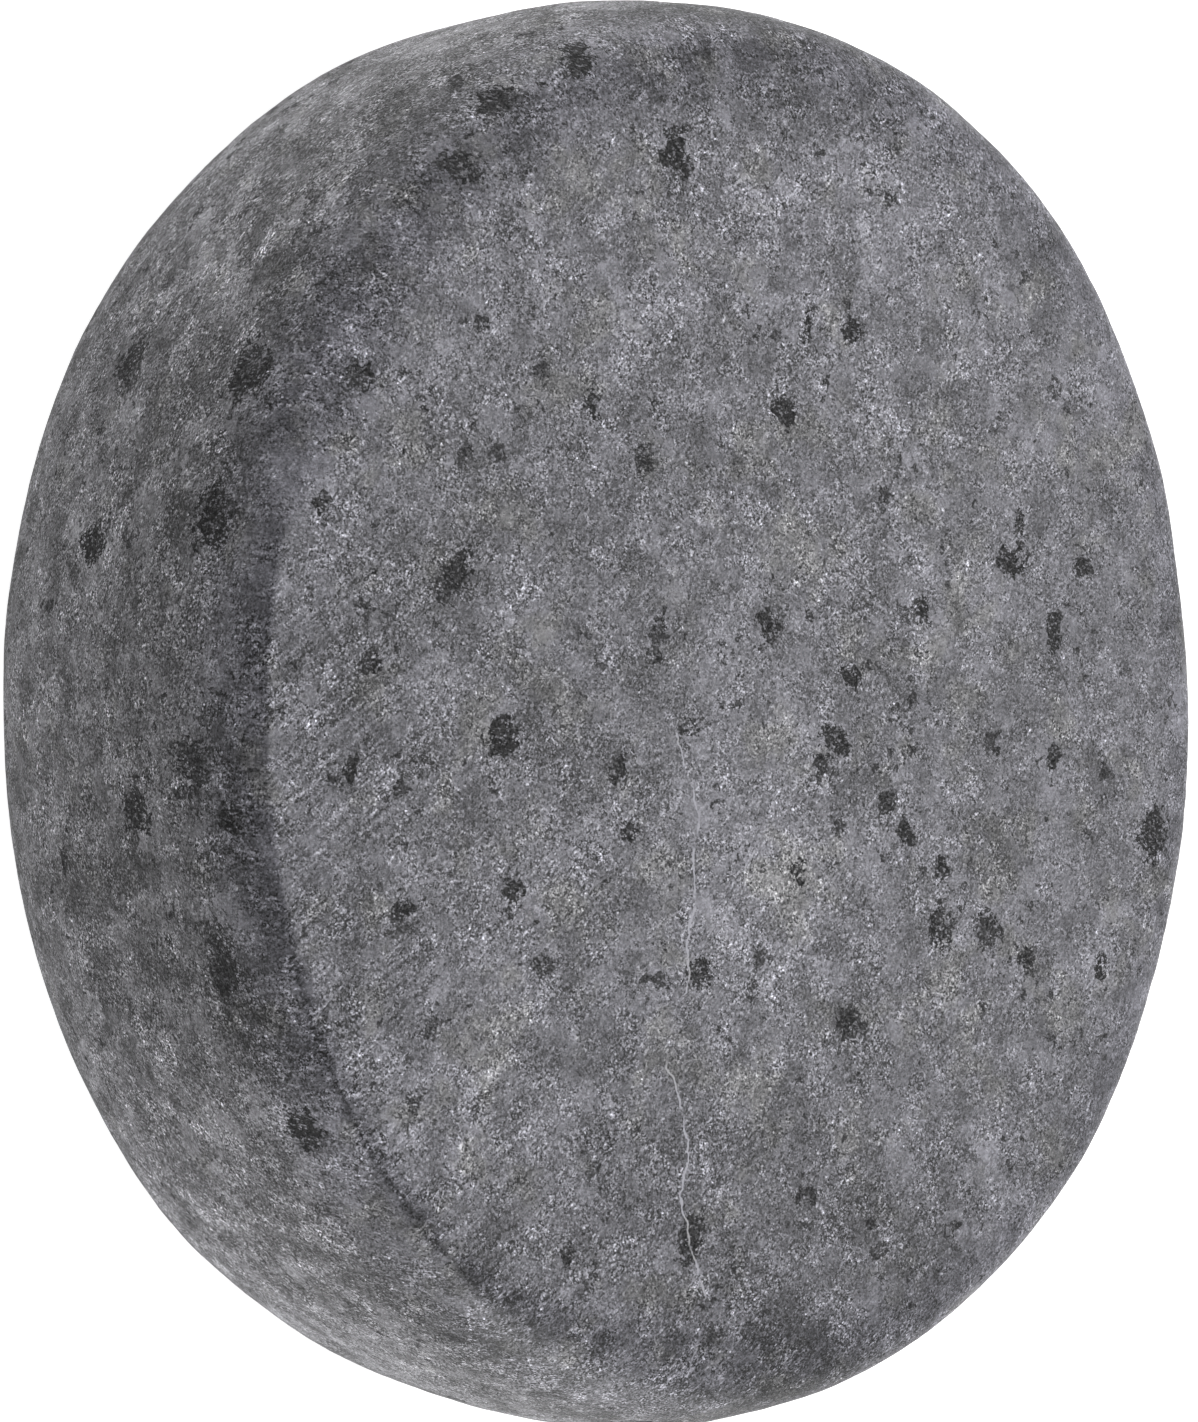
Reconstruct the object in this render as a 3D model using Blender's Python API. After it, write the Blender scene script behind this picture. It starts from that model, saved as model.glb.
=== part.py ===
"""Basalt massage stone: one rolled, hand-sized pebble with two ground faces, lying on its flat side."""

import math

import bmesh
import bpy
from mathutils import Vector

# All sizes are in metres. The stone lies flat: +X along its length, +Y across it, +Z out of the massage
# face, and the origin under its centre on the table.

# The whole stone. Its outline from above is an oval of this fullness: 2 is an ellipse, and more is
# squarer.
STONE_LENGTH = 0.080
STONE_WIDTH = 0.067
STONE_THICKNESS = 0.031
OUTLINE_FULLNESS = 2.06

# The rolled side, before the faces are ground: how far it leans in from the widest line until it has
# levelled out, and the fullness of that curve.
SIDE_REACH = 0.006
SIDE_FULLNESS = 2.5

# The ground faces: what the wheel takes off the middle of the top and off the underside, and how much
# higher the middle of the massage face is left than its edge.
FACE_GROUND_OFF = 0.0002
REST_GROUND_OFF = 0.0008
FACE_CROWN = 0.0008

# How finely the curved surfaces are divided
TURNS = 96
SIDE_STEPS = 12
CROWN_RINGS = 6
CROWN_TURNS = 48

# How far a grinding tool stands clear of the stone all round
TOOL_CLEARANCE = 0.004

# Points nearer than this are one point
WELD_DISTANCE = 1e-6

BLANK_THICKNESS = STONE_THICKNESS + FACE_GROUND_OFF + REST_GROUND_OFF
WIDEST_HEIGHT = BLANK_THICKNESS / 2 - REST_GROUND_OFF


def clear_scene():
    for old in list(bpy.data.objects):
        bpy.data.objects.remove(old, do_unlink=True)


def new_collection(name):
    collection = bpy.data.collections.new(name)
    bpy.context.scene.collection.children.link(collection)
    return collection


def add_object(name, shape, collection):
    """Turns a bmesh into an object of this name and frees the bmesh."""
    bmesh.ops.recalc_face_normals(shape, faces=shape.faces)
    mesh = bpy.data.meshes.new(name)
    shape.to_mesh(mesh)
    shape.free()
    obj = bpy.data.objects.new(name, mesh)
    collection.objects.link(obj)
    return obj


def side_profile():
    """Half the blank's section, from the middle of its top to the middle of its underside."""
    half_height = BLANK_THICKNESS / 2
    radius = STONE_WIDTH / 2
    quarter = []
    for step in range(SIDE_STEPS + 1):
        angle = math.pi / 2 * step / SIDE_STEPS
        reach = SIDE_REACH * math.sin(angle) ** (2 / SIDE_FULLNESS)
        height = half_height * math.cos(angle) ** (2 / SIDE_FULLNESS)
        quarter.append(Vector((radius - SIDE_REACH + reach, 0, height)))
    upper = [Vector((0, 0, half_height))] + quarter
    lower = [Vector((point.x, 0, -point.z)) for point in reversed(upper[:-1])]
    return [point + Vector((0, 0, WIDEST_HEIGHT)) for point in upper + lower]


def turn_to_oval(section, turns):
    """Turns a section once round the upright axis, then draws the round shape out to the stone's oval."""
    shape = bmesh.new()
    points = [shape.verts.new(point) for point in section]
    edges = [shape.edges.new(pair) for pair in zip(points, points[1:])]
    bmesh.ops.spin(
        shape,
        geom=points + edges,
        cent=Vector(),
        axis=Vector((0, 0, 1)),
        angle=2 * math.pi,
        steps=turns,
        use_merge=True,
    )
    bmesh.ops.remove_doubles(shape, verts=shape.verts, dist=WELD_DISTANCE)
    for point in shape.verts:
        angle = math.atan2(point.co.y, point.co.x)
        power = OUTLINE_FULLNESS
        stretch = (abs(math.cos(angle)) ** power + abs(math.sin(angle)) ** power) ** (-1 / power)
        point.co.x *= stretch * STONE_LENGTH / STONE_WIDTH
        point.co.y *= stretch
    return shape


def rolled_blank(collection):
    """The pebble as it is rolled, before its two faces are ground."""
    return add_object("massage_stone", turn_to_oval(side_profile(), TURNS), collection)


def rest_grinder(collection):
    """A block whose top is the table plane, wide enough to take off the whole underside."""
    shape = bmesh.new()
    bmesh.ops.create_cube(shape, size=1)
    length = STONE_LENGTH + 2 * TOOL_CLEARANCE
    width = STONE_WIDTH + 2 * TOOL_CLEARANCE
    height = REST_GROUND_OFF + TOOL_CLEARANCE
    bmesh.ops.scale(shape, vec=Vector((length, width, height)), verts=shape.verts)
    bmesh.ops.translate(shape, vec=Vector((0, 0, -height / 2)), verts=shape.verts)
    return add_object("rest_face_grinder", shape, collection)


def crown_height(share):
    """The massage face's height at a share of the way out from its middle: a shallow dome."""
    return STONE_THICKNESS - FACE_CROWN * share**2


def face_grinder(collection):
    """A disc with a shallow dish underneath, which leaves the massage face slightly domed."""
    face_radius = STONE_WIDTH / 2 - SIDE_REACH
    tool_radius = STONE_WIDTH / 2 + TOOL_CLEARANCE
    ring_gap = face_radius / CROWN_RINGS
    ring_count = math.ceil(tool_radius / ring_gap)
    radii = [ring_gap * ring for ring in range(ring_count + 1)]
    dish = [Vector((radius, 0, crown_height(radius / face_radius))) for radius in radii]
    tool_top = STONE_THICKNESS + FACE_GROUND_OFF + TOOL_CLEARANCE
    section = dish + [Vector((radii[-1], 0, tool_top)), Vector((0, 0, tool_top))]
    return add_object("massage_face_grinder", turn_to_oval(section, CROWN_TURNS), collection)


def grind(stone, tool):
    """Takes off the stone whatever the tool covers. The tool stays in the file as a hidden helper."""
    cut = stone.modifiers.new(tool.name, "BOOLEAN")
    cut.operation = "DIFFERENCE"
    cut.solver = "EXACT"
    cut.object = tool
    tool.hide_render = True
    tool.display_type = "WIRE"


def basalt_material():
    material = bpy.data.materials.new("basalt")
    material.use_nodes = True
    shader = material.node_tree.nodes["Principled BSDF"]
    shader.inputs["Base Color"].default_value = (0.16, 0.16, 0.165, 1)
    shader.inputs["Roughness"].default_value = 0.6
    shader.inputs["Metallic"].default_value = 0
    material.diffuse_color = (0.16, 0.16, 0.165, 1)
    return material


def main():
    clear_scene()
    parts = new_collection("basalt_massage_stone")
    cutters = new_collection("cutters")
    stone = rolled_blank(parts)
    grind(stone, rest_grinder(cutters))
    grind(stone, face_grinder(cutters))
    stone.data.materials.append(basalt_material())
    stone.data.shade_smooth()


main()
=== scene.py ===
import math
from types import SimpleNamespace

import bpy
import numpy as np
from mathutils import Matrix, Vector


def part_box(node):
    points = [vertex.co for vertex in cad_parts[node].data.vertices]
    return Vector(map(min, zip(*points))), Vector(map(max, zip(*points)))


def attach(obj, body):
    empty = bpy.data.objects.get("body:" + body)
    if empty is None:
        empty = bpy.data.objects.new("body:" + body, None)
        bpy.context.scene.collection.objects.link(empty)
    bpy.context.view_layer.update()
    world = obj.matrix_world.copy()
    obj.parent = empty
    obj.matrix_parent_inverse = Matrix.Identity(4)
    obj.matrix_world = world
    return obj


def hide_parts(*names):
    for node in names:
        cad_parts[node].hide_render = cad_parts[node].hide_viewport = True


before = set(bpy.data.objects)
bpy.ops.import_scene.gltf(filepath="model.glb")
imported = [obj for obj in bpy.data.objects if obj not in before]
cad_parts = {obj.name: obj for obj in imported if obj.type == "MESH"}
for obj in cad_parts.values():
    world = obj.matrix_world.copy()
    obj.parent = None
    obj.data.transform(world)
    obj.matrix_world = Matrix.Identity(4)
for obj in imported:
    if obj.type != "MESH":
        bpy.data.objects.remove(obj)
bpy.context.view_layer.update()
lowCorner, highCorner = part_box("massage_stone")
stoneMiddle = (lowCorner + highCorner) / 2
stoneSize = highCorner - lowCorner
print("frame loaded, stone", [round(side * 1000, 1) for side in stoneSize], "mm")


# the stone's shape, in metres
shapeValues = {
    "meshStep": 0.00047,      # how fine the stone's mesh is
    "fineReach": 0.0012,      # the mesh is finer this near the massage face's crisp edge
    "fineStretch": (-0.020, 0.032),     # from here to here along x
    "fineAbove": 0.020,       # and only above and in front of these
    "fineInFront": 0.010,
    "sideReach": 0.0060,      # how far the rolled side leans in, and how full its curve is
    "sideFullness": 2.5,
    "outlineFullness": 2.06,  # 2 is an ellipse seen from above, and more is squarer
    "faceCrown": 0.0008,      # how much higher the middle of the massage face is than its edge
    "topGroundOff": 0.0002,   # ground off the pebble's top and underside
    "restGroundOff": 0.0008,
    "crispEdge": 0.00010,     # how far the massage face's edge is rounded where it is crisp
    "lowEdge": 0.0007,        # the same further along towards the +X end
    "softEdge": 0.0026,       # at the ends
    "backEdge": 0.0018,       # and along the back
    "restEdge": 0.0005,
    "crispStarts": (-0.016, -0.008),    # the edge turns crisp over this stretch of x
    "crispEnds": (0.009, 0.017),        # and soft again over this one
    "lowStarts": (0.006, 0.014),        # the same two for the stretch with the low edge
    "lowEnds": (0.029, 0.036),
    "frontStarts": (0.004, 0.016),      # how far in front of the middle both stretches fade in
    "backStarts": (-0.004, 0.016),      # and how far behind it the back's edge does
    "rollScale": 0.016,       # broad unevenness left by rolling
    "rollHeight": 0.0007,
    "wearScale": 0.0045,      # shallow wear
    "wearHeight": 0.00014,
    "grainScale": 0.0011,     # grain that can be felt
    "grainHeight": 0.00005,
    "footHeight": 0.004,      # all three fade out below this height, so that the underside stays flat
    "crystalDepth": 0.00007,  # dark crystals are worn a little lower than the rock
}

# dark crystals: x, y, z, length, width, turn in degrees, all in millimetres from the middle of the base
crystals = [
    (-7.0, -19.6, 30.6, 3.0, 1.5, 130),
    (-4.0, -7.0, 31.0, 2.2, 1.0, 170),
    (-4.8, 0.0, 31.0, 2.0, 1.1, 30),
    (-16.3, 1.4, 30.8, 2.0, 1.4, 20),
    (-30.0, -5.5, 30.3, 2.6, 1.5, 10),
    (-2.0, 5.6, 31.0, 1.6, 1.0, 0),
    (1.6, 4.6, 31.0, 2.2, 1.2, 60),
    (3.0, 3.5, 31.0, 1.6, 0.8, 0),
    (-8.4, 17.0, 30.6, 1.8, 1.5, 90),
    (-8.0, 22.3, 30.4, 1.5, 1.2, 0),
    (-4.4, 20.2, 30.5, 2.4, 0.9, 0),
    (1.8, 15.6, 30.7, 1.6, 0.9, 0),
    (2.8, 20.0, 30.6, 1.4, 0.9, 0),
    (12.1, 12.0, 30.7, 2.0, 1.4, 0),
    (12.4, 15.4, 30.6, 1.9, 1.5, 45),
    (7.0, 27.6, 30.1, 2.8, 1.8, 0),
    (1.4, -16.6, 30.7, 2.2, 1.8, 20),
    (-2.4, -24.6, 30.3, 1.5, 1.0, 60),
    (3.0, -25.7, 30.3, 1.9, 0.8, 0),
    (-17.2, -24.9, 30.0, 1.6, 1.2, 0),
    (-17.7, -29.2, 25.6, 3.0, 2.2, 20),
    (-18.7, -29.8, 13.9, 2.4, 2.4, 20),
    (3.0, -32.2, 25.6, 2.8, 1.7, 20),
    (5.4, -31.6, 28.0, 2.0, 1.3, 60),
    (5.2, -33.1, 20.4, 2.6, 2.2, 0),
    (13.4, -30.7, 25.7, 3.0, 2.0, 0),
    (21.8, -26.6, 27.4, 2.2, 1.8, 40),
    (17.2, 5.8, 30.7, 1.8, 1.6, 90),
    (28.4, -4.6, 30.4, 2.6, 1.4, 160),
    (-9.9, -31.5, 26.1, 3.4, 2.2, 10),
    (10.5, -22.7, 30.4, 1.5, 1.2, 0),
    (9.5, -16.1, 30.7, 1.3, 1.1, 0),
    (-32.3, -16.1, 29.0, 1.8, 2.0, 60),
    (-35.1, -10.9, 29.0, 1.6, 2.2, 70),
    (-8.8, -32.8, 14.9, 1.8, 2.6, 0),
    (-21.0, 3.0, 30.7, 2.2, 0.6, 170),
    (-21.0, 6.0, 30.6, 1.6, 1.3, 0),
    (-5.6, 10.7, 30.8, 1.4, 0.9, 20),
    (5.0, 8.0, 30.9, 1.3, 1.1, 0),
    (6.7, 9.5, 30.8, 1.6, 0.9, 30),
    (8.6, 12.0, 30.8, 1.4, 0.8, 0),
    (-16.4, -11.0, 30.7, 1.7, 0.8, 0),
    (-13.5, -8.0, 30.8, 1.5, 1.2, 60),
    (14.0, -4.4, 30.8, 1.5, 1.3, 0),
    (14.4, -7.0, 30.8, 1.8, 0.7, 80),
    (-10.4, 17.5, 30.6, 1.7, 0.7, 0),
    (3.0, -9.7, 30.9, 1.6, 0.9, 150),
    (8.8, 2.0, 30.9, 1.3, 0.8, 0),
    (14.7, 23.7, 30.3, 1.5, 0.9, 0),
    (13.8, 18.2, 30.5, 1.3, 1.1, 90),
    (6.4, -8.8, 30.9, 1.1, 0.8, 0),
    (-26.0, -26.5, 29.3, 2.0, 1.2, 40),
    (-29.0, -19.6, 29.9, 3.4, 1.6, 70),
    (-10.6, -27.3, 29.9, 1.3, 1.0, 0),
]

# the pale vein on the massage face: x and y in millimetres, from its start to where it leaves the face
vein = [
    (0.8, -6.0), (3.5, -5.2), (5.7, -4.5), (7.9, -4.9), (9.8, -4.7), (12.4, -5.1), (14.3, -4.9),
    (16.1, -5.8), (19.0, -6.3), (20.9, -5.4), (22.8, -5.0), (24.2, -4.9), (26.1, -5.3), (29.6, -4.3),
    (31.8, -3.3), (33.4, -3.7), (36.3, -4.0),
]

# broad darker and paler clouds: x, y, z, reach in millimetres, and how many grey levels they shift the rock
clouds = [
    (28.0, 2.5, 30.4, 6.0, -20),
    (31.5, 9.6, 30.2, 6.0, -20),
    (24.0, -6.6, 30.5, 4.5, -9),
    (4.5, -31.9, 27.2, 4.5, -8),
    (-15.0, -29.7, 27.5, 4.0, -5),
    (-31.3, -19.3, 26.7, 4.0, -12),
    (-1.7, -15.6, 30.7, 6.5, -9),
    (10.2, -1.7, 30.9, 6.0, 12),
    (2.0, 0.5, 31.0, 5.0, 8),
    (22.0, -16.6, 30.4, 6.5, 8),
    (13.5, 5.5, 30.8, 4.0, -8),
    (14.5, -30.5, 25.5, 6.0, -24),
    (-38.5, 1.0, 26.0, 6.5, -32),
    (-32.0, 3.5, 30.3, 6.0, 13),
    (-26.0, 11.0, 30.4, 7.0, 9),
    (-20.0, 19.0, 30.4, 6.5, 9),
    (17.5, 21.0, 30.4, 5.5, 9),
    (29.5, -21.5, 28.5, 5.5, -16),
    (32.5, 2.5, 30.4, 4.0, 8),
    (-8.0, -33.0, 9.0, 10.0, 17),
    (8.4, -32.0, 19.5, 4.0, -18),
    (-26.0, -25.5, 14.0, 9.0, 5),
    (27.0, -25.0, 11.0, 9.0, 9),
    (25.3, -25.8, 21.0, 5.0, -10),
    (33.5, -17.0, 26.5, 5.0, -22),
    (-29.5, -21.5, 21.0, 4.0, -14),
    (34.0, -22.0, 12.0, 7.0, 8),
    (-5.0, -31.0, 28.8, 3.5, 10),
    (39.5, 1.0, 25.0, 7.0, -46),
    (-9.0, -30.6, 29.0, 4.5, 14),
    (-9.0, -18.0, 30.6, 6.0, -5),
    (-19.9, -21.4, 30.2, 4.0, 6),
]

# more dark crystals of the same kind around the back of the side, in millimetres and degrees
backCrystals = {
    "seed": 5,
    "count": 26,
    "angles": (8, 172),
    "heights": (4, 28),
    "lengths": (1.6, 3.6),
    "slimness": 0.6,          # width over length
}


def pickOnly(piece):
    bpy.ops.object.select_all(action="DESELECT")
    piece.select_set(True)
    bpy.context.view_layer.objects.active = piece


def finishWith(piece, kind, **settings):
    # adds one modifier with these settings and applies it
    modifier = piece.modifiers.new(kind.lower(), kind)
    for name, value in settings.items():
        setattr(modifier, name, value)
    pickOnly(piece)
    bpy.ops.object.modifier_apply(modifier=modifier.name)


def pointsOf(piece):
    flat = np.empty(len(piece.data.vertices) * 3, np.float32)
    piece.data.vertices.foreach_get("co", flat)
    return flat.reshape(-1, 3).astype(float)


def normalsOf(piece):
    flat = np.empty(len(piece.data.vertices) * 3, np.float32)
    piece.data.vertex_normals.foreach_get("vector", flat)
    return flat.reshape(-1, 3).astype(float)


def movePoints(piece, points):
    piece.data.vertices.foreach_set("co", points.astype(np.float32).ravel())
    piece.data.update()


def smoothStep(values, low, high):
    share = np.clip((values - low) / (high - low), 0, 1)
    return share * share * (3 - 2 * share)


def alongStretch(values, starts, ends):
    # 1 along a stretch, fading in over its starts and out over its ends
    return smoothStep(values, *starts) * (1 - smoothStep(values, *ends))


def weighPoints(piece, name, weights):
    # a vertex group from one weight for each point, in steps of a twentieth
    group = piece.vertex_groups.new(name=name)
    steps = np.round(weights * 20).astype(int)
    for step in range(1, 21):
        group.add(np.nonzero(steps == step)[0].tolist(), step / 20, "REPLACE")
    return group.name


def keepOnPoints(piece, name, values):
    attribute = piece.data.attributes.new(name, "FLOAT", "POINT")
    attribute.data.foreach_set("value", values.astype(np.float32))


def cloudTexture(name, scale, depth):
    texture = bpy.data.textures.new(name, "CLOUDS")
    texture.noise_scale = scale
    texture.noise_depth = depth
    return texture


def roughBlank():
    # an even, fine mesh in the shape of the CAD stone
    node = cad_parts["massage_stone"]
    piece = bpy.data.objects.new("ground_basalt", node.data.copy())
    bpy.context.scene.collection.objects.link(piece)
    piece.data.materials.clear()
    pickOnly(piece)
    bpy.ops.object.mode_set(mode="EDIT")
    bpy.ops.mesh.select_all(action="SELECT")
    bpy.ops.mesh.remove_doubles(threshold=1e-6)
    bpy.ops.mesh.normals_make_consistent(inside=False)
    bpy.ops.object.mode_set(mode="OBJECT")
    finishWith(piece, "REMESH", mode="VOXEL", voxel_size=shapeValues["meshStep"])
    finishWith(piece, "SMOOTH", factor=0.5, iterations=4)
    return piece


def crispness(x):
    # 1 along the middle of the front, where the massage face keeps its edge, and 0 towards the ends
    return alongStretch(x, shapeValues["crispStarts"], shapeValues["crispEnds"])


def surfaceGaps(points):
    # how far outside the rolled side and the massage face each point lies
    values = shapeValues
    halfLength, halfWidth = stoneSize.x / 2, stoneSize.y / 2
    x, y, z = points.T
    roundX = x * halfWidth / halfLength
    radius = np.hypot(roundX, y) + 1e-9
    full = values["outlineFullness"]
    stretch = (np.abs(roundX / radius) ** full + np.abs(y / radius) ** full) ** (-1 / full)
    radius = radius / stretch
    halfHeight = (stoneSize.z + values["topGroundOff"] + values["restGroundOff"]) / 2
    share = np.clip(np.abs(z - halfHeight + values["restGroundOff"]) / halfHeight, 0, 0.995)
    power = values["sideFullness"]
    flatReach = halfWidth - values["sideReach"]
    side = flatReach + values["sideReach"] * (1 - share**power) ** (1 / power)
    slope = values["sideReach"] / halfHeight * (1 - share**power) ** (1 / power - 1) * share ** (power - 1)
    sideGap = (radius - side) / np.sqrt(1 + slope**2)
    faceGap = z - stoneSize.z + values["faceCrown"] * (radius / flatReach) ** 2
    return sideGap, faceGap


def roundedMost(first, second, rounding):
    # the larger of two distances, passing gently from one to the other
    near = np.clip(1 - np.abs(first - second) / rounding, 0, 1)
    return np.maximum(first, second) + near**2 * rounding / 4


def outsideStone(points):
    # how far each point lies outside the finished stone
    values = shapeValues
    sideGap, faceGap = surfaceGaps(points)
    x, y, z = points.T
    front = smoothStep(-y, *values["frontStarts"])
    back = smoothStep(y, *values["backStarts"])
    low = alongStretch(x, values["lowStarts"], values["lowEnds"]) * front
    crisp = crispness(x) * front
    rounding = values["softEdge"] + (values["backEdge"] - values["softEdge"]) * back
    rounding = rounding + (values["lowEdge"] - rounding) * low
    rounding = rounding + (values["crispEdge"] - rounding) * crisp
    upper = roundedMost(sideGap, faceGap, rounding)
    return roundedMost(upper, -z, values["restEdge"])


def refineEdge(piece, reach):
    # cuts the faces nearest to the crisp edge into quarters
    values = shapeValues
    points = pointsOf(piece)
    sideGap, faceGap = surfaceGaps(points)
    x, y, z = points.T
    near = (np.abs(sideGap - faceGap) < reach) & (z > values["fineAbove"]) & (y < -values["fineInFront"])
    near &= (x > values["fineStretch"][0]) & (x < values["fineStretch"][1])
    pickOnly(piece)
    piece.data.vertices.foreach_set("select", near)
    piece.data.edges.foreach_set("select", np.zeros(len(piece.data.edges), bool))
    piece.data.polygons.foreach_set("select", np.zeros(len(piece.data.polygons), bool))
    bpy.ops.object.mode_set(mode="EDIT")
    bpy.ops.mesh.select_mode(type="VERT")
    bpy.ops.mesh.subdivide(number_cuts=1)
    bpy.ops.object.mode_set(mode="OBJECT")


def settleOnShape(piece):
    # moves every point straight onto the finished stone's surface, in five steps
    points = pointsOf(piece)
    step = 1e-6
    for _ in range(5):
        gap = outsideStone(points)
        slope = np.stack([(outsideStone(points + step * axis) - gap) / step for axis in np.eye(3)], axis=1)
        points -= slope * (gap / np.maximum((slope**2).sum(1), 0.2))[:, None]
    movePoints(piece, points)


def grindShape(piece):
    settleOnShape(piece)
    refineEdge(piece, shapeValues["fineReach"])
    refineEdge(piece, shapeValues["fineReach"] / 2)
    settleOnShape(piece)


def wearSurface(piece):
    # rolling, wear and grain, all fading out on the flat underside
    values = shapeValues
    worn = weighPoints(piece, "worn", smoothStep(pointsOf(piece)[:, 2], 0.0, values["footHeight"]))
    layers = [
        ("roll", values["rollScale"], 1, values["rollHeight"]),
        ("wear", values["wearScale"], 2, values["wearHeight"]),
        ("grain", values["grainScale"], 2, values["grainHeight"]),
    ]
    for name, scale, depth, height in layers:
        finishWith(piece, "DISPLACE", texture=cloudTexture(name, scale, depth), strength=height,
                   mid_level=0.5, texture_coords="LOCAL", vertex_group=worn)


def crystalsAtBack():
    values = backCrystals
    chance = np.random.default_rng(values["seed"])
    placed = []
    for _ in range(values["count"]):
        angle = math.radians(chance.uniform(*values["angles"]))
        length = chance.uniform(*values["lengths"])
        x = stoneSize.x / 2 * math.cos(angle) * 1000
        y = stoneSize.y / 2 * math.sin(angle) * 1000
        z = chance.uniform(*values["heights"])
        placed.append((x, y, z, length, length * values["slimness"], math.degrees(angle) + 90))
    return placed


def crystalGaps(points):
    # 0 in the middle of the nearest dark crystal, 1 at its rim, and more outside it
    nearest = np.full(len(points), 4.0)
    for x, y, z, length, width, turn in crystals + crystalsAtBack():
        away = points * 1000 - np.array([x, y, z])
        angle = math.radians(turn)
        along = away[:, 0] * math.cos(angle) + away[:, 1] * math.sin(angle)
        across = -away[:, 0] * math.sin(angle) + away[:, 1] * math.cos(angle)
        lengthwise = np.abs(along) / (length / 2)
        sideways = np.hypot(across, away[:, 2]) / (width / 2)
        # an outline of eight straight sides
        gap = np.maximum(lengthwise + 0.45 * sideways, sideways + 0.3 * lengthwise)
        nearest = np.minimum(nearest, gap)
    return nearest


def sinkCrystals(piece, gaps):
    points = pointsOf(piece)
    depth = shapeValues["crystalDepth"] * (1 - smoothStep(gaps, 0.5, 1.1))
    movePoints(piece, points - normalsOf(piece) * depth[:, None])


# painted shade and painted light beside the massage face's edge: shifts of display level, and places in
# millimetres
edgeLightAndShade = {
    "creaseShadeShift": -0.12,       # painted shade: a thin dark line in the crease along the low stretch of the edge
    "creaseShadePast": 0.1,          # its middle, this far past the edge
    "creaseShadeReach": 0.14,
    "creaseShadeStarts": (10, 15),   # along x
    "creaseShadeEnds": (30, 35),
    "paintedLightShift": 0.016,       # painted light: a paler band on the shoulder below the crisp stretch
    "paintedLightStarts": (0, 0.3),   # past the edge
    "paintedLightEnds": (1.8, 4.0),
}


def paintEdgeLightAndShade(points, pastEdge):
    values = edgeLightAndShade
    x, y, _ = points.T
    # painted shade in the crease along the low stretch, and painted light on the band below the crisp
    # stretch
    shadedStretch = alongStretch(x, values["creaseShadeStarts"], values["creaseShadeEnds"]) * (y < 0)
    fromCreaseShade = (pastEdge - values["creaseShadePast"]) / values["creaseShadeReach"]
    # painted light: a paler band on the shoulder just past the crisp stretch of the edge
    paintedLightBand = alongStretch(pastEdge, values["paintedLightStarts"], values["paintedLightEnds"]) * (y < 0)
    return (values["creaseShadeShift"] * shadedStretch * np.exp(-fromCreaseShade ** 2)
            + values["paintedLightShift"] * paintedLightBand * crispness(x / 1000))


def veinSides(points):
    # how far aside of the vein each point of the massage face lies, and far off everywhere else
    x, y, z = points.T
    veinX, veinY = np.array(vein).T
    onFace = (z > 25) & (x > veinX[0]) & (x < veinX[-1])
    return np.where(onFace, y - np.interp(x, veinX, veinY), 9.0)


def markSurface(piece, gaps):
    # what the material needs to know about each point of the stone, in millimetres
    points = pointsOf(piece) * 1000
    sideGap, faceGap = surfaceGaps(points / 1000)
    pastEdge = (sideGap - faceGap) * 1000
    # the tone carries the painted shade and painted light along the edge, besides the clouds
    tone = paintEdgeLightAndShade(points, pastEdge)
    for x, y, z, reach, shift in clouds:
        far = ((points - np.array([x, y, z])) ** 2).sum(1)
        tone += shift / 255 * np.exp(-far / reach**2)
    keepOnPoints(piece, "crystalGap", gaps)
    keepOnPoints(piece, "veinSide", veinSides(points))
    keepOnPoints(piece, "tone", tone)
    keepOnPoints(piece, "pastEdge", pastEdge)


# the rock's greys, as display levels and shifts of them, and its patterns, in repeats to a millimetre
basaltValues = {
    "middleGrey": 0.393,      # the rock's grey before all its variation
    "crystalGrey": 0.20,
    "veinGrey": 0.66,
    "cloudScale": 0.075,      # broad mottling, over a centimetre
    "cloudShift": 0.22,
    "patchScale": 0.45,       # mottling a few millimetres across
    "patchShift": 0.30,
    "plateScale": 0.5,        # mottling with firmer outlines
    "plateShift": 0.11,
    "mosaicScale": 1.0,       # grains about a millimetre across
    "mosaicShift": 0.06,
    "crumbScale": 3.0,        # grains a third of that
    "crumbShift": 0.042,
    "lathShift": 0.08,        # slender grains
    "pepperScale": 10.0,      # the finest grains
    "pepperShift": 0.28,
    "fineScale": 8.0,         # unevenness within and between the finest grains
    "fineShift": 0.50,
    "fleckShift": 0.13,       # the palest grains
    "poreShift": 0.18,        # the darkest grains and open pores
    "streakShift": 0.90,      # grinding marks
    "milkyShift": 0.04,       # smooth milky grains
    "sideMottling": 1.70,     # the unground side is more mottled than the massage face
    "sideContrast": 1.30,     # and shows its grain more strongly
    "coolTint": (0.966, 0.957, 1.080, 1),
    "warmTint": (1.012, 1.003, 0.975, 1),
    "roughness": 0.50,
    "roughShift": 0.85,       # how much smoother the pale grains are than the dark ones
    "crystalRoughness": 1.0,
    "gloss": 0.38,
    "reliefStrength": 0.6,
    "reliefHeight": 0.00012,  # in metres
}


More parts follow.
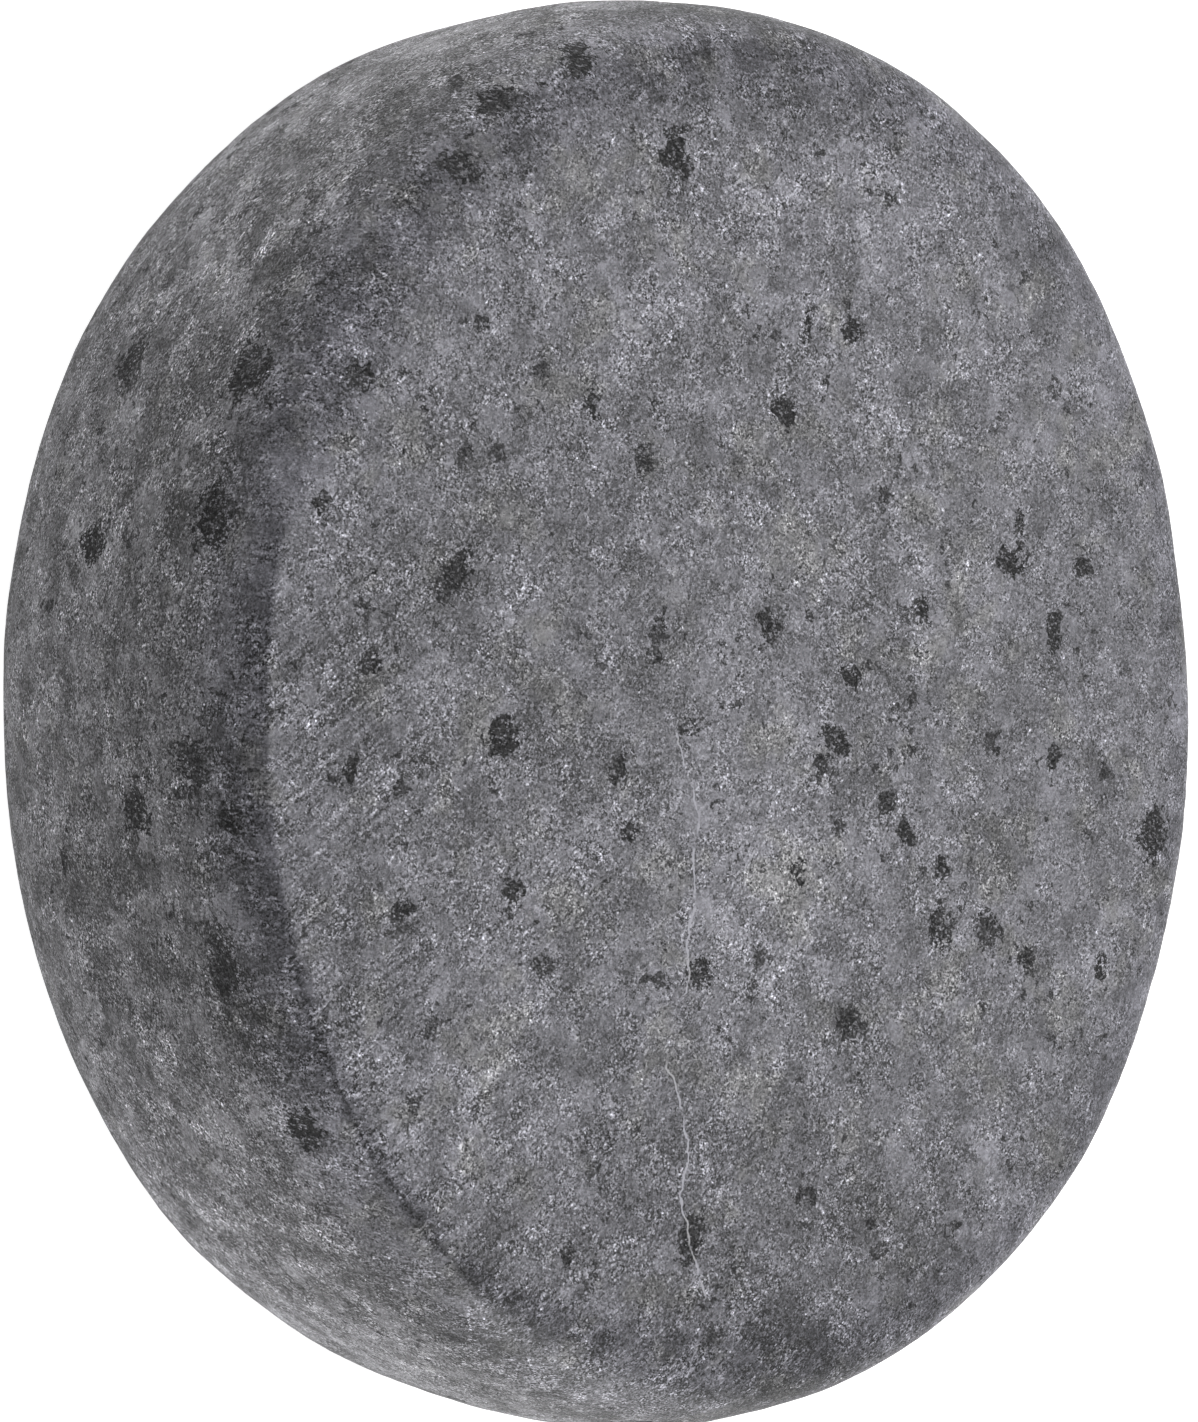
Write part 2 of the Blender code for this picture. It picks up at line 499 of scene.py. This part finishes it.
class NodeBench:
    # short ways to add nodes to one material
    def __init__(self, material):
        self.tree = material.node_tree

    def add(self, kind, **settings):
        node = self.tree.nodes.new(kind)
        for name, value in settings.items():
            setattr(node, name, value)
        return node

    def plug(self, socket, value):
        if isinstance(value, bpy.types.NodeSocket):
            self.tree.links.new(value, socket)
        else:
            socket.default_value = value

    def fill(self, node, **given):
        # plugs each value into the input of its name, with From_Min for "From Min"
        for name, value in given.items():
            self.plug(node.inputs[name.replace("_", " ")], value)

    def math(self, operation, first, second=0.0, third=0.0):
        node = self.add("ShaderNodeMath", operation=operation)
        for socket, value in zip(node.inputs, (first, second, third)):
            self.plug(socket, value)
        return node.outputs[0]

    def total(self, *values):
        result = values[0]
        for value in values[1:]:
            result = self.math("ADD", result, value)
        return result

    def times(self, *values):
        result = values[0]
        for value in values[1:]:
            result = self.math("MULTIPLY", result, value)
        return result

    def swing(self, value, size):
        # a pattern from 0 to 1 as a shift to both sides of 0
        return self.times(self.math("SUBTRACT", value, 0.5), size)

    def mix(self, factor, first, second):
        node = self.add("ShaderNodeMix", data_type="FLOAT")
        self.fill(node, Factor=factor, A=first, B=second)
        return node.outputs["Result"]

    def between(self, value, low, high, fromZero=0.0, toOne=1.0):
        # a soft step of the value from low to high
        node = self.add("ShaderNodeMapRange", interpolation_type="SMOOTHSTEP")
        self.fill(node, Value=value, From_Min=low, From_Max=high, To_Min=fromZero, To_Max=toOne)
        return node.outputs[0]

    def below(self, value, low, high):
        # 1 below low, and 0 above high
        return self.between(value, low, high, 1.0, 0.0)

    def vector(self, operation, first, second=None, scale=None):
        node = self.add("ShaderNodeVectorMath", operation=operation)
        self.plug(node.inputs[0], first)
        if second is not None:
            self.plug(node.inputs[1], second)
        if scale is not None:
            self.plug(node.inputs["Scale"], scale)
        return node.outputs[0]

    def length(self, vector):
        node = self.add("ShaderNodeVectorMath", operation="LENGTH")
        self.plug(node.inputs[0], vector)
        return node.outputs["Value"]

    def split(self, vector):
        node = self.add("ShaderNodeSeparateXYZ")
        self.plug(node.inputs[0], vector)
        return node.outputs

    def noise(self, vector, scale, detail=2.0, roughness=0.5):
        node = self.add("ShaderNodeTexNoise")
        self.fill(node, Vector=vector, Scale=scale, Detail=detail, Roughness=roughness)
        return node.outputs["Fac"]

    def grains(self, vector, scale):
        # cells packed side by side, each with a tone of its own and a number to pick it out by
        node = self.add("ShaderNodeTexVoronoi")
        self.fill(node, Vector=vector, Scale=scale)
        tone, pick, _ = self.split(node.outputs["Color"])
        return SimpleNamespace(tone=tone, pick=pick)

    def stretched(self, vector, turn, size):
        # coordinates in which a pattern is drawn out along a turned direction
        node = self.add("ShaderNodeMapping", vector_type="TEXTURE")
        self.fill(node, Vector=vector, Rotation=[math.radians(angle) for angle in turn], Scale=size)
        return node.outputs[0]

    def attribute(self, name):
        return self.add("ShaderNodeAttribute", attribute_name=name).outputs["Fac"]


def rockPatterns(bench, place):
    # mottling and grains of every size
    values = basaltValues
    wobble = bench.add("ShaderNodeTexNoise")
    bench.fill(wobble, Vector=place, Scale=2.2)
    wobble = bench.vector("SUBTRACT", wobble.outputs["Color"], (0.5, 0.5, 0.5))
    warped = bench.vector("ADD", place, bench.vector("SCALE", wobble, scale=1.0))
    moreWarped = bench.vector("ADD", place, bench.vector("SCALE", wobble, scale=2.6))
    return SimpleNamespace(
        cloud=bench.noise(place, values["cloudScale"], 3.0, 0.55),
        patch=bench.noise(place, values["patchScale"], 5.0, 0.68),
        plate=bench.grains(moreWarped, values["plateScale"]),
        mosaic=bench.grains(warped, values["mosaicScale"]),
        crumb=bench.grains(warped, values["crumbScale"]),
        lath=bench.grains(bench.stretched(place, (20, 35, 62), (0.10, 0.36, 0.10)), 1.0),
        otherLath=bench.grains(bench.stretched(place, (50, -20, -28), (0.10, 0.40, 0.10)), 1.0),
        pepper=bench.grains(place, values["pepperScale"]),
        fine=bench.noise(place, values["fineScale"], 2.0, 0.8),
    )


def grindingStreaks(bench, place):
    # marks across the massage face's edge and slanting ones beside it, and how much of each shows where
    half = stoneSize / 2 * 1000
    outward = bench.vector("NORMALIZE", bench.vector("MULTIPLY", place, (1 / half.x, 1 / half.y, 0)))
    x, y, z = bench.split(place)
    radius = bench.length(bench.vector("MULTIPLY", place, (1, 1, 0)))
    down = bench.vector("SCALE", (0, 0, 0.35), scale=bench.math("SUBTRACT", z, radius))
    around = bench.vector("SCALE", outward, scale=half.y * 4.5)
    edgeMarks = bench.noise(bench.vector("ADD", around, down), 1.0, 2.0, 0.7)
    slanting = bench.stretched(place, (0, 0, 34), (0.45, 4.8, 0.45))
    slantMarks = bench.noise(slanting, 1.0, 2.0, 0.8)

    pastEdge = bench.attribute("pastEdge")
    nearFront = bench.below(y, -16.0, -8.0)
    middleFront = bench.times(nearFront, bench.below(bench.math("ABSOLUTE", x), 9.0, 18.0))
    onEdge = bench.times(bench.between(pastEdge, -0.2, 0.3), bench.below(pastEdge, 1.4, 4.5),
                         bench.mix(middleFront, 0.10, 0.35))
    patchy = bench.between(bench.noise(place, 0.22, 2.0, 0.5), 0.40, 0.56)
    slantReach = bench.times(bench.between(pastEdge, -9.0, -3.0), bench.below(pastEdge, -0.1, 0.2))
    slantPlace = bench.times(bench.between(x, -12.0, -2.0), nearFront)
    onSlant = bench.times(slantReach, slantPlace, bench.mix(patchy, 0.45, 1.0))
    marks = bench.math("SUBTRACT", bench.mix(onSlant, edgeMarks, slantMarks), 0.5)
    streaked = bench.math("MAXIMUM", onEdge, bench.times(onSlant, 0.8))
    return marks, streaked, onSlant


def darkCrystals(bench, place, rock):
    # the large ones by their places, and smaller ones scattered in loose swarms
    ragged = bench.swing(bench.noise(place, 1.3, 3.0, 0.6), 2.2)
    broken = bench.math("MULTIPLY_ADD", bench.math("SUBTRACT", rock.crumb.tone, 0.5), 0.8, ragged)
    gap = bench.math("ADD", bench.attribute("crystalGap"), broken)
    placed = bench.below(gap, 1.12, 1.16)
    swarm = bench.between(bench.noise(place, 0.16, 2.0, 0.6), 0.40, 0.62, 0.05, 0.0)
    small = bench.below(bench.math("ADD", rock.crumb.pick, swarm), 0.034, 0.038)
    middling = bench.total(rock.mosaic.pick, swarm, bench.times(broken, 0.04))
    middling = bench.below(middling, 0.030, 0.034)
    scattered = bench.times(bench.math("MAXIMUM", small, middling), 0.8)
    faded = bench.between(bench.noise(place, 0.3, 1.0), 0.36, 0.50, 0.78, 1.0)
    specks = bench.between(rock.otherLath.pick, 0.76, 0.79, 1.0, 0.3)
    return bench.times(bench.math("MAXIMUM", placed, scattered), faded, specks)


def paleVein(bench, place):
    # a hairline that comes and goes
    wander = bench.math("SUBTRACT", bench.noise(place, 0.9, 3.0, 0.6), 0.5)
    gap = bench.math("ABSOLUTE", bench.math("MULTIPLY_ADD", wander, 0.9, bench.attribute("veinSide")))
    comes = bench.between(bench.noise(place, 0.5, 2.0, 0.6), 0.38, 0.50, 0.15, 1.0)
    return bench.times(bench.below(gap, 0.03, 0.10), comes)


def saltAndPepper(bench, rock):
    # shifts of grey from the finest grains, the palest of them, the pores and the slender grains
    values = basaltValues
    fineGrain = bench.total(bench.swing(rock.pepper.tone, values["pepperShift"]),
                            bench.swing(rock.fine, values["fineShift"]))
    pale = bench.times(bench.between(rock.pepper.pick, 0.90, 0.93), values["fleckShift"])
    pores = bench.times(bench.below(rock.pepper.pick, 0.06, 0.09), -values["poreShift"])
    lath, other = rock.lath, rock.otherLath
    laths = bench.total(bench.math("SUBTRACT", lath.tone, 0.5), bench.math("SUBTRACT", other.tone, 0.5))
    picked = bench.total(bench.between(lath.pick, 0.93, 0.95), bench.between(other.pick, 0.93, 0.95),
                         bench.between(lath.pick, 0.05, 0.07, -0.8, 0.0),
                         bench.between(other.pick, 0.05, 0.07, -0.8, 0.0))
    slender = bench.math("MULTIPLY_ADD", laths, values["lathShift"],
                         bench.times(picked, values["fleckShift"]))
    return fineGrain, pale, pores, slender


def grainContrast(bench, place, rock, milky):
    # how strongly the salt and pepper shows from place to place
    return bench.times(
        bench.between(rock.plate.pick, 0.1, 0.9, 1.25, 0.75),
        bench.between(bench.noise(place, 0.9, 2.0, 0.6), 0.35, 0.65, 0.65, 1.35),
        bench.mix(milky, 1.0, 0.45),
        bench.between(bench.split(place)[1], 4.0, 26.0, 1.0, 0.80),    # calmer towards the back
    )


def mottledPatches(bench, rock):
    values = basaltValues
    return bench.total(
        bench.swing(rock.patch, values["patchShift"]),
        bench.swing(rock.plate.tone, values["plateShift"]),
        bench.swing(rock.mosaic.tone, values["mosaicShift"]),
        bench.swing(rock.crumb.tone, values["crumbShift"]),
    )


def tintedRock(bench, place, grey, crystal, onSide):
    # cool rock, with faint warm patches, a warmer side and nearly neutral crystals
    warm = bench.math("MAXIMUM", bench.between(bench.noise(place, 0.28, 3.0, 0.6), 0.52, 0.68), crystal)
    warm = bench.math("MAXIMUM", warm, bench.times(onSide, 0.6))
    tint = bench.add("ShaderNodeMix", data_type="RGBA")
    bench.plug(tint.inputs["Factor"], bench.times(warm, 0.6))
    tint.inputs[6].default_value = basaltValues["coolTint"]
    tint.inputs[7].default_value = basaltValues["warmTint"]
    linear = bench.math("POWER", bench.math("MAXIMUM", grey, 0.05), 2.2)    # from the display level
    return bench.vector("SCALE", tint.outputs[2], scale=linear)


def basaltMaterial():
    material = bpy.data.materials.new("ground basalt")
    material.use_nodes = True
    bench = NodeBench(material)
    shader = bench.tree.nodes["Principled BSDF"]
    values = basaltValues

    objectPlace = bench.add("ShaderNodeTexCoord").outputs["Object"]
    place = bench.vector("SCALE", objectPlace, scale=1000.0)    # in millimetres
    rock = rockPatterns(bench, place)
    marks, streaked, onSlant = grindingStreaks(bench, place)
    crystal = darkCrystals(bench, place, rock)
    fineGrain, pale, pores, slender = saltAndPepper(bench, rock)
    milky = bench.times(bench.between(rock.mosaic.pick, 0.80, 0.84), bench.between(rock.patch, 0.42, 0.55))
    onSide = bench.between(bench.attribute("pastEdge"), 0.5, 6.0)
    sideMottling = bench.mix(onSide, 1.0, values["sideMottling"])
    sideContrast = bench.mix(onSide, 1.0, values["sideContrast"])

    # the rock's grey, and on it the crystals and the vein
    salt = bench.times(bench.total(fineGrain, pale, pores, slender), bench.mix(streaked, 1.0, 1.05))
    streaks = bench.times(marks, values["streakShift"], streaked)
    grain = bench.times(bench.math("ADD", salt, streaks), grainContrast(bench, place, rock, milky))
    # the tone attribute brings in the painted shade and painted light along the massage face's edge
    grey = bench.total(
        values["middleGrey"],
        bench.attribute("tone"),
        bench.swing(rock.cloud, values["cloudShift"]),
        bench.times(milky, values["milkyShift"]),
        bench.times(mottledPatches(bench, rock), bench.mix(onSlant, sideMottling, 0.7)),
        bench.times(grain, sideContrast),
    )
    crystalTone = bench.math("MULTIPLY_ADD", fineGrain, 0.5, values["crystalGrey"])
    crystalTone = bench.math("ADD", crystalTone, bench.times(pale, 0.7))
    grey = bench.mix(crystal, grey, crystalTone)
    grey = bench.mix(paleVein(bench, place), grey, values["veinGrey"])
    bench.plug(shader.inputs["Base Color"], tintedRock(bench, place, grey, crystal, onSide))

    # smoother on the pale grains, and rough in the pores and on the crystals
    shader.inputs["Specular IOR Level"].default_value = values["gloss"]
    roughness = bench.math("MULTIPLY_ADD", fineGrain, -values["roughShift"], values["roughness"])
    roughness = bench.math("MAXIMUM", roughness, 0.3)
    bench.plug(shader.inputs["Roughness"], bench.mix(crystal, roughness, values["crystalRoughness"]))

    # relief of the finest grains, the pores and the grinding marks
    height = bench.total(fineGrain, bench.times(marks, 0.5, streaked), bench.times(pores, 1.5))
    bump = bench.add("ShaderNodeBump")
    bench.fill(bump, Height=height, Strength=values["reliefStrength"], Distance=values["reliefHeight"])
    bench.plug(shader.inputs["Normal"], bump.outputs["Normal"])
    return material


def makeStone():
    piece = roughBlank()
    grindShape(piece)
    wearSurface(piece)
    print("stone ground and worn,", len(piece.data.vertices), "points")
    gaps = crystalGaps(pointsOf(piece))
    sinkCrystals(piece, gaps)
    markSurface(piece, gaps)
    print("surface marked,", len(crystals) + backCrystals["count"], "large dark crystals")
    piece.vertex_groups.clear()
    piece.data.materials.append(basaltMaterial())
    piece.data.shade_smooth()
    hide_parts("massage_stone")
    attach(piece, "root")
    print("stone made,", sum(len(face.vertices) - 2 for face in piece.data.polygons), "triangles")


# the studio: distances in metres, angles in degrees, and the lens in millimetres
studioValues = {
    "floorSize": 3.0,
    "floorGlow": 0.46,        # the floor's own light on the stone
    "floorSeen": 0.92,        # and as the camera sees it, which keeps it nearly white
    "skyLight": 0.10,         # the same two for the backdrop
    "skySeen": 1.0,
    "faceTurn": 32.95,        # how far the camera leans from straight above the massage face
    "cameraDistance": 0.2856,
    "lens": 151.0,
    "aimAside": 0.00068,      # how far to the left of the stone's middle the camera aims
}


def makeFloor():
    bpy.ops.mesh.primitive_plane_add(size=studioValues["floorSize"], location=(0, 0, lowCorner.z))
    floor = bpy.context.object
    floor.name = "floor"
    material = bpy.data.materials.new("white paper")
    material.use_nodes = True
    bench = NodeBench(material)
    shader = bench.tree.nodes["Principled BSDF"]
    shader.inputs["Base Color"].default_value = (0.5, 0.5, 0.5, 1)
    shader.inputs["Roughness"].default_value = 0.9
    shader.inputs["Emission Color"].default_value = (1, 1, 1, 1)
    fromCamera = bench.add("ShaderNodeLightPath").outputs["Is Camera Ray"]
    glow = bench.mix(fromCamera, studioValues["floorGlow"], studioValues["floorSeen"])
    bench.plug(shader.inputs["Emission Strength"], glow)
    floor.data.materials.append(material)


def makeSky():
    world = bpy.data.worlds.new("studio")
    bpy.context.scene.world = world
    world.use_nodes = True
    bench = NodeBench(world)
    light = bench.tree.nodes["Background"]
    seen = bench.add("ShaderNodeBackground")
    bench.fill(light, Color=(1, 1, 1, 1), Strength=studioValues["skyLight"])
    bench.fill(seen, Color=(1, 1, 1, 1), Strength=studioValues["skySeen"])
    fromCamera = bench.add("ShaderNodeLightPath").outputs["Is Camera Ray"]
    mixed = bench.add("ShaderNodeMixShader")
    for socket, output in zip(mixed.inputs, (fromCamera, light.outputs[0], seen.outputs[0])):
        bench.plug(socket, output)
    bench.plug(bench.tree.nodes["World Output"].inputs["Surface"], mixed.outputs[0])


# softboxes: direction from the stone, distance, width and height, and the light on a surface facing them
softboxes = {
    "key": ((0.0, 0.53, 0.85), 0.75, 0.30, 0.30, 0.92),
    "endLeft": ((-1.0, 0.0, 0.10), 0.70, 0.60, 0.16, 0.66),
    "endRight": ((1.0, 0.0, 0.10), 0.70, 0.60, 0.16, 0.92),
}


def makeLights():
    for name, (direction, distance, width, height, level) in softboxes.items():
        lamp = bpy.data.lights.new(name, "AREA")
        lamp.shape = "RECTANGLE"
        lamp.size = width
        lamp.size_y = height
        lamp.energy = level * math.pi**2 * distance**2
        softbox = bpy.data.objects.new(name, lamp)
        bpy.context.scene.collection.objects.link(softbox)
        toward = Vector(direction).normalized()
        softbox.location = stoneMiddle + toward * distance
        softbox.rotation_euler = toward.to_track_quat("Z", "Y").to_euler()


def makeCamera():
    turn = math.radians(studioValues["faceTurn"])
    back = Vector((0, -math.sin(turn), math.cos(turn)))
    right = Vector((0, math.cos(turn), math.sin(turn)))
    up = Vector((-1, 0, 0))
    aim = stoneMiddle - right * studioValues["aimAside"]
    camera = bpy.data.objects.new("camera", bpy.data.cameras.new("camera"))
    bpy.context.scene.collection.objects.link(camera)
    place = aim + back * studioValues["cameraDistance"]
    turned = Matrix((right, up, back)).transposed()
    camera.matrix_world = Matrix.Translation(place) @ turned.to_4x4()
    camera.data.sensor_fit = "HORIZONTAL"
    camera.data.sensor_width = 36
    camera.data.lens = studioValues["lens"]
    camera.data.clip_start = 0.01
    bpy.context.scene.camera = camera


makeStone()
makeFloor()
makeSky()
makeLights()
makeCamera()
bpy.context.scene.view_settings.view_transform = "Standard"
print("studio set")
